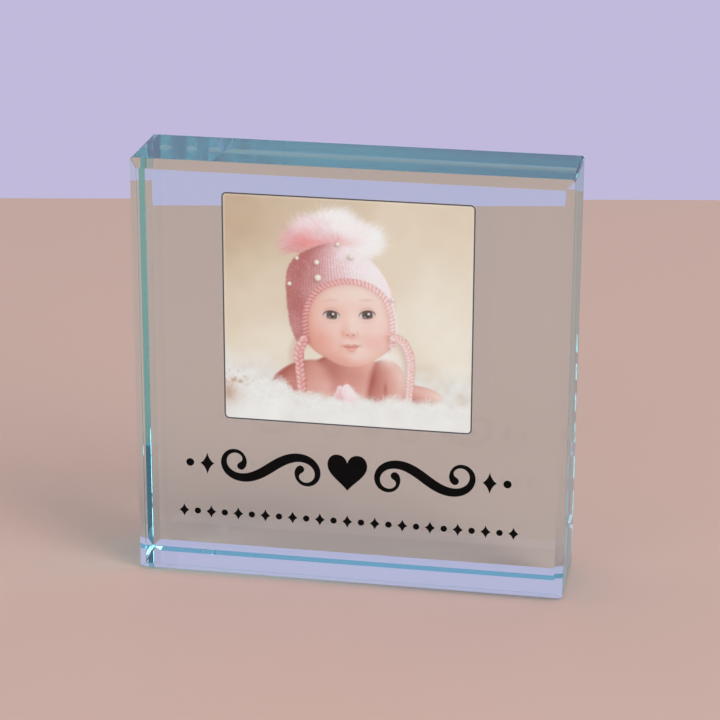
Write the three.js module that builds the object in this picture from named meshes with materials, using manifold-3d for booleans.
// Glass photo charm: a free-standing block of thick float glass with polished bevels, printed on its front face
// with a picture over a white base, a thin keyline round the picture, and a black ornament in two lines below it.
// Millimetres, +Z up. The origin is the middle of the footprint, on the surface that the block stands on.
// The printed face looks along -Y.

import * as THREE from 'three';
import { mergeVertices } from 'three/addons/utils/BufferGeometryUtils.js';
import Module from 'manifold-3d';

// Driving dimensions of the glass block
const BLOCK_WIDTH = 80;
const BLOCK_HEIGHT = 80;
const GLASS_THICKNESS = 19;
const FRONT_BEVEL = 1.5;
const BACK_BEVEL = 1.25;
const ARRIS_RADIUS = 0.6;
const GRIND_OVERRUN = 2;

// Driving dimensions of the ink films
const WHITE_FILM = 0.06;
const COLOUR_FILM = 0.04;
const KEYLINE_FILM = 0.04;
const BLACK_FILM = 0.05;

// Driving dimensions of the layout on the front face, stacked from the base up to the picture's top edge
const FOOT_MARGIN = 11.7;
const BORDER_HEIGHT = 2.5;
const LINE_GAP = 4.9;
const ORNAMENT_HEIGHT = 7;
const PICTURE_GAP = 5.75;
const PICTURE_TOP_MARGIN = 5.05;
const PICTURE_SIDE_MARGIN = 17.15;
const PICTURE_CORNER_RADIUS = 0.9;
const KEYLINE_WIDTH = 0.24;

// Driving dimensions of the large ornament: a heart between two scrolls, each with a lozenge and a bead outside it
const ORNAMENT_SIDE_MARGIN = 8.2;
const ORNAMENT_GAP = 1.2;
const HEART_WIDTH = 7.4;
const ORNAMENT_LOZENGE_WIDTH = 2.6;
const ORNAMENT_LOZENGE_HEIGHT = 4.2;
const ORNAMENT_BEAD_DIAMETER = 1.5;
const SCROLL_SWELL = 1.9;
const SCROLL_HAIRLINE = 0.5;
const SCROLL_BALL = 1.5;

// Driving dimensions of the small border: lozenges and beads in turn
const BORDER_SIDE_MARGIN = 6.7;
const BORDER_PITCH = 2.5;
const BORDER_LOZENGE_WIDTH = 1.9;
const BORDER_BEAD_DIAMETER = 1.2;

// Shape of the scroll and of the lozenge, and how finely curves are cut
const SCROLL_REACH = 2;
const SCROLL_TILT = THREE.MathUtils.degToRad(-36);
const VOLUTE_PLACE = 0.5;
const SCROLL_STEPS = 72;
const SCROLL_CAP_STEPS = 6;
const BALL_SPREAD = 0.07;
const LOZENGE_WAIST = 0.55;
const ARC_SEGMENTS = 6;
const BEAD_SEGMENTS = 12;
const HEART_SEGMENTS = 8;

// Places that follow from the driving dimensions
const PICTURE_RELIEF = WHITE_FILM + COLOUR_FILM + KEYLINE_FILM;
const PRINT_RELIEF = Math.max(PICTURE_RELIEF, BLACK_FILM);
const FRONT_PLANE_Y = (PRINT_RELIEF - GLASS_THICKNESS) / 2;
const BORDER_CENTRE_Z = FOOT_MARGIN + BORDER_HEIGHT / 2;
const ORNAMENT_CENTRE_Z = FOOT_MARGIN + BORDER_HEIGHT + LINE_GAP + ORNAMENT_HEIGHT / 2;
const PICTURE_BOTTOM_Z = ORNAMENT_CENTRE_Z + ORNAMENT_HEIGHT / 2 + PICTURE_GAP;
const PICTURE_TOP_Z = BLOCK_HEIGHT - PICTURE_TOP_MARGIN;
const PICTURE_HEIGHT = PICTURE_TOP_Z - PICTURE_BOTTOM_Z;
const PICTURE_WIDTH = BLOCK_WIDTH - 2 * PICTURE_SIDE_MARGIN;
const PICTURE_CENTRE_Z = (PICTURE_BOTTOM_Z + PICTURE_TOP_Z) / 2;

const wasm = await Module();
wasm.setup();

// Solid of a closed geometry, for cutting
function toSolid(geometry) {
  const bare = geometry.clone();
  bare.deleteAttribute('normal');
  bare.deleteAttribute('uv');
  const merged = mergeVertices(bare);
  const vertProperties = new Float32Array(merged.attributes.position.array);
  const triVerts = new Uint32Array(merged.index.array);
  return new wasm.Manifold(new wasm.Mesh({ numProp: 3, vertProperties, triVerts }));
}

// Geometry of a cut solid
function toGeometry(solid) {
  const mesh = solid.getMesh();
  const geometry = new THREE.BufferGeometry();
  geometry.setAttribute('position', new THREE.BufferAttribute(mesh.vertProperties, 3));
  geometry.setIndex(new THREE.BufferAttribute(mesh.triVerts, 1));
  geometry.computeVertexNormals();
  return geometry;
}

// Rectangle on the front face, from its middle, with round corners where a radius is given
function rectangle(width, height, centreZ, radius = 0) {
  const right = width / 2;
  const top = centreZ + height / 2;
  const bottom = centreZ - height / 2;
  const shape = new THREE.Shape();
  if (radius === 0) {
    shape.moveTo(-right, bottom).lineTo(right, bottom).lineTo(right, top).lineTo(-right, top).closePath();
    return shape;
  }
  shape.moveTo(radius - right, bottom);
  shape.lineTo(right - radius, bottom);
  shape.absarc(right - radius, bottom + radius, radius, -Math.PI / 2, 0);
  shape.lineTo(right, top - radius);
  shape.absarc(right - radius, top - radius, radius, 0, Math.PI / 2);
  shape.lineTo(radius - right, top);
  shape.absarc(radius - right, top - radius, radius, Math.PI / 2, Math.PI);
  shape.lineTo(-right, bottom + radius);
  shape.absarc(radius - right, bottom + radius, radius, Math.PI, Math.PI * 1.5);
  return shape;
}

// Blank whose 45 degree bevel, ground all round, lies in the same planes as a bevel of the given size on the block
function grindingBlank(bevel, centreZ) {
  const inset = bevel + GRIND_OVERRUN;
  const smallEnd = rectangle(BLOCK_WIDTH - 2 * inset, BLOCK_HEIGHT - 2 * inset, centreZ);
  const grown = bevel + 2 * GRIND_OVERRUN;
  const blank = new THREE.ExtrudeGeometry(smallEnd, {
    depth: GLASS_THICKNESS + 2 * GRIND_OVERRUN,
    bevelThickness: grown,
    bevelSize: grown,
    bevelSegments: 1,
  });
  blank.translate(0, 0, grown);
  return blank;
}

// The glass: a sawn block with rounded arrises, then a bevel ground round the front and a smaller one round the back
function glassBlock() {
  const centreZ = BLOCK_HEIGHT / 2;
  const outline = rectangle(BLOCK_WIDTH, BLOCK_HEIGHT, centreZ, ARRIS_RADIUS);
  const sawn = new THREE.ExtrudeGeometry(outline, {
    depth: GLASS_THICKNESS,
    bevelEnabled: false,
    curveSegments: ARC_SEGMENTS,
  });
  sawn.translate(0, 0, -GLASS_THICKNESS);
  const back = grindingBlank(BACK_BEVEL, centreZ);
  back.translate(0, 0, -GLASS_THICKNESS - GRIND_OVERRUN);
  const front = grindingBlank(FRONT_BEVEL, centreZ);
  front.rotateY(Math.PI);
  front.translate(0, 0, GRIND_OVERRUN);
  return toGeometry(toSolid(sawn).intersect(toSolid(back)).intersect(toSolid(front)));
}

// Ink film of one outline, with its back at the given height over the glass
function inkFilm(shape, thickness, level = 0, curveSegments = ARC_SEGMENTS) {
  const film = new THREE.ExtrudeGeometry(shape, { depth: thickness, bevelEnabled: false, curveSegments });
  film.translate(0, 0, level);
  return film;
}

function pictureOutline() {
  return rectangle(PICTURE_WIDTH, PICTURE_HEIGHT, PICTURE_CENTRE_Z, PICTURE_CORNER_RADIUS);
}

function keylineOutline() {
  const line = pictureOutline();
  const inner = rectangle(
    PICTURE_WIDTH - 2 * KEYLINE_WIDTH,
    PICTURE_HEIGHT - 2 * KEYLINE_WIDTH,
    PICTURE_CENTRE_Z,
    PICTURE_CORNER_RADIUS - KEYLINE_WIDTH,
  );
  line.holes.push(inner);
  return line;
}

function bead(diameter) {
  return new THREE.Shape().absarc(0, 0, diameter / 2, 0, Math.PI * 2);
}

// Diamond with hollow sides
function lozenge(width, height) {
  const corners = [[width / 2, 0], [0, height / 2], [-width / 2, 0], [0, -height / 2]];
  const pull = LOZENGE_WAIST / 2;
  const shape = new THREE.Shape().moveTo(...corners[3]);
  corners.forEach(([x, z], corner) => {
    const [fromX, fromZ] = corners[(corner + 3) % 4];
    shape.quadraticCurveTo((x + fromX) * pull, (z + fromZ) * pull, x, z);
  });
  return shape;
}

// Heart that fills its width and height, tip down
function heart(width, height) {
  const at = (x, z) => [x * width / 2, z * height / 2];
  const shape = new THREE.Shape().moveTo(...at(0, -1));
  shape.bezierCurveTo(...at(0.3, -0.55), ...at(1, -0.15), ...at(1, 0.4));
  shape.bezierCurveTo(...at(1, 0.8), ...at(0.77, 1), ...at(0.52, 1));
  shape.bezierCurveTo(...at(0.25, 1), ...at(0.07, 0.82), ...at(0, 0.55));
  shape.bezierCurveTo(...at(-0.07, 0.82), ...at(-0.25, 1), ...at(-0.52, 1));
  shape.bezierCurveTo(...at(-0.77, 1), ...at(-1, 0.8), ...at(-1, 0.4));
  shape.bezierCurveTo(...at(-1, -0.15), ...at(-0.3, -0.55), ...at(0, -1));
  return shape;
}

// Middle line of a scroll: an Euler spiral, whose bend grows evenly from its middle to a volute at each end,
// laid along x and fitted to a width and a height
function scrollSpine(width, height) {
  const step = 2 * SCROLL_REACH / SCROLL_STEPS;
  const points = [new THREE.Vector2()];
  for (let i = 0; i < SCROLL_STEPS; i += 1) {
    const run = (i + 0.5) * step - SCROLL_REACH;
    const heading = SCROLL_TILT + Math.PI / 2 * run * run;
    const stride = new THREE.Vector2(Math.cos(heading), Math.sin(heading)).multiplyScalar(step);
    points.push(points[i].clone().add(stride));
  }
  const box = new THREE.Box2().setFromPoints(points);
  const size = box.getSize(new THREE.Vector2());
  const middle = box.getCenter(new THREE.Vector2());
  const fit = new THREE.Vector2(width / size.x, height / size.y);
  return points.map((point) => point.sub(middle).multiply(fit));
}

// Half width of the scroll's stroke at a place from -1 to 1 along it: full in the middle, a hairline, then a ball
function strokeHalfWidth(place) {
  const swell = (SCROLL_SWELL - SCROLL_HAIRLINE) * (1 - place ** 2) ** 2;
  const ball = (SCROLL_BALL - SCROLL_HAIRLINE) * Math.exp(-(((1 - Math.abs(place)) / BALL_SPREAD) ** 2));
  return (SCROLL_HAIRLINE + swell + ball) / 2;
}

// Outline of a scroll drawn with a swelling pen, with a round end on each ball
function scroll(width, height) {
  const inset = 2 * strokeHalfWidth(VOLUTE_PLACE);
  const spine = scrollSpine(width - inset, height - inset);
  const last = spine.length - 1;
  const side = (i, turn) => {
    const along = spine[Math.min(i + 1, last)].clone().sub(spine[Math.max(i - 1, 0)]);
    const reach = strokeHalfWidth(2 * i / last - 1);
    const across = Math.atan2(along.y, along.x) + turn;
    return new THREE.Vector2(Math.cos(across), Math.sin(across)).multiplyScalar(reach).add(spine[i]);
  };
  const outline = [];
  spine.forEach((_, i) => outline.push(side(i, -Math.PI / 2)));
  for (let k = 1; k < SCROLL_CAP_STEPS; k += 1) {
    outline.push(side(last, Math.PI * (k / SCROLL_CAP_STEPS - 0.5)));
  }
  spine.forEach((_, i) => outline.push(side(last - i, Math.PI / 2)));
  for (let k = 1; k < SCROLL_CAP_STEPS; k += 1) {
    outline.push(side(0, Math.PI * (k / SCROLL_CAP_STEPS + 0.5)));
  }
  return new THREE.Shape(outline);
}

// The same outline turned over left to right
function mirrored(shape) {
  return new THREE.Shape(shape.getPoints().map((point) => new THREE.Vector2(-point.x, point.y)));
}

const finishes = {
  glass: { color: 0xc4ded6, roughness: 0.03, metalness: 0, transparent: true, opacity: 0.4 },
  white: { color: 0xf3f0ea, roughness: 0.45, metalness: 0 },
  picture: { color: 0xe4cbb6, roughness: 0.35, metalness: 0 },
  keyline: { color: 0x4b4d57, roughness: 0.4, metalness: 0 },
  black: { color: 0x0c0c0e, roughness: 0.4, metalness: 0 },
};

function piece(name, geometry, finish) {
  const mesh = new THREE.Mesh(geometry, new THREE.MeshStandardMaterial(finishes[finish]));
  mesh.name = name;
  return mesh;
}

// Everything is laid out in the plane of the front face: x to the right, y up from the base, z out of the glass
const face = new THREE.Group();
face.rotation.x = Math.PI / 2;
face.position.y = FRONT_PLANE_Y;

function addGlassAndPicture() {
  const outline = pictureOutline();
  const keylineLevel = WHITE_FILM + COLOUR_FILM;
  face.add(piece('glass_block', glassBlock(), 'glass'));
  face.add(piece('picture_white_base', inkFilm(outline, WHITE_FILM), 'white'));
  face.add(piece('picture_colour_print', inkFilm(outline, COLOUR_FILM, WHITE_FILM), 'picture'));
  face.add(piece('picture_keyline', inkFilm(keylineOutline(), KEYLINE_FILM, keylineLevel), 'keyline'));
}

function addMotif(name, shape, x, z, curveSegments = ARC_SEGMENTS) {
  const mesh = piece(name, inkFilm(shape, BLACK_FILM, 0, curveSegments), 'black');
  mesh.position.set(x, z, 0);
  face.add(mesh);
}

function addOrnament() {
  const reach = BLOCK_WIDTH / 2 - FRONT_BEVEL - ORNAMENT_SIDE_MARGIN;
  const beadX = reach - ORNAMENT_BEAD_DIAMETER / 2;
  const lozengeX = reach - ORNAMENT_BEAD_DIAMETER - ORNAMENT_GAP - ORNAMENT_LOZENGE_WIDTH / 2;
  const scrollEnd = lozengeX - ORNAMENT_LOZENGE_WIDTH / 2 - ORNAMENT_GAP;
  const scrollStart = HEART_WIDTH / 2 + ORNAMENT_GAP;
  const scrollX = (scrollStart + scrollEnd) / 2;
  const scrollShape = scroll(scrollEnd - scrollStart, ORNAMENT_HEIGHT);
  const lozengeShape = lozenge(ORNAMENT_LOZENGE_WIDTH, ORNAMENT_LOZENGE_HEIGHT);
  addMotif('ornament_heart', heart(HEART_WIDTH, ORNAMENT_HEIGHT), 0, ORNAMENT_CENTRE_Z, HEART_SEGMENTS);
  addMotif('ornament_scroll_left', mirrored(scrollShape), -scrollX, ORNAMENT_CENTRE_Z);
  addMotif('ornament_scroll_right', scrollShape, scrollX, ORNAMENT_CENTRE_Z);
  for (const [hand, sign] of [['left', -1], ['right', 1]]) {
    addMotif(`ornament_lozenge_${hand}`, lozengeShape, sign * lozengeX, ORNAMENT_CENTRE_Z);
    const beadShape = bead(ORNAMENT_BEAD_DIAMETER);
    addMotif(`ornament_bead_${hand}`, beadShape, sign * beadX, ORNAMENT_CENTRE_Z, BEAD_SEGMENTS);
  }
}

// A lozenge at each end and at every other place, with a bead between each two
function addBorder() {
  const span = BLOCK_WIDTH - 2 * (FRONT_BEVEL + BORDER_SIDE_MARGIN) - BORDER_LOZENGE_WIDTH;
  const beads = Math.floor(span / (2 * BORDER_PITCH));
  const pitch = span / (2 * beads);
  const lozengeShape = lozenge(BORDER_LOZENGE_WIDTH, BORDER_HEIGHT);
  const beadShape = bead(BORDER_BEAD_DIAMETER);
  for (let i = 0; i <= 2 * beads; i += 1) {
    const x = i * pitch - span / 2;
    const number = String(Math.floor(i / 2) + 1).padStart(2, '0');
    if (i % 2 === 0) {
      addMotif(`border_lozenge_${number}`, lozengeShape, x, BORDER_CENTRE_Z, ARC_SEGMENTS);
    } else {
      addMotif(`border_bead_${number}`, beadShape, x, BORDER_CENTRE_Z, BEAD_SEGMENTS);
    }
  }
}

addGlassAndPicture();
addOrnament();
addBorder();

const charm = new THREE.Group();
charm.name = 'glass_photo_charm';
charm.add(face);

export default charm;
